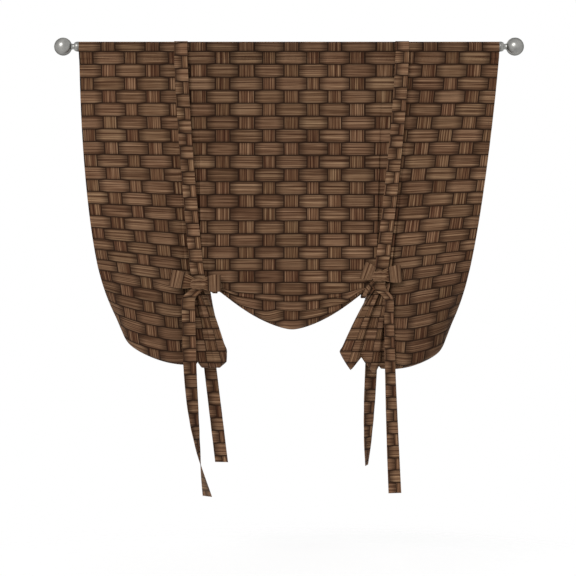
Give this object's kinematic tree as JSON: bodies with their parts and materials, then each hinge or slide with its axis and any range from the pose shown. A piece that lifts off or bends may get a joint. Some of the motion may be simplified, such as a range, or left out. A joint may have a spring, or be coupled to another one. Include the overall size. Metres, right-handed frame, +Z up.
{
  "type": "tie up curtain",
  "caption": "Tie-up curtain on a rod with ball finials: a panel gathered by tied straps into a swag between two full sides, with a printed basket weave.",
  "frame": {"origin": "on the rod's axis, midway between its ends", "axes": "+X along the rod, to the right as seen from the front; -Y the front; +Z up"},
  "size_m": [1.3086, 0.1583, 1.2741],
  "materials": {
    "basket_print_cloth": "matt printed polyester cloth",
    "basket_print_band": "matt printed polyester band",
    "satin_nickel": "satin nickel plate"
  },
  "bodies": {
    "root": {"curtain_panel": "basket_print_cloth", "front_strap_left": "basket_print_band", "back_strap_left": "basket_print_band", "tie_bow_left": "basket_print_band", "finial_left": "satin_nickel", "front_strap_right": "basket_print_band", "back_strap_right": "basket_print_band", "tie_bow_right": "basket_print_band", "finial_right": "satin_nickel", "curtain_rod": "satin_nickel"}
  },
  "joints": []
}
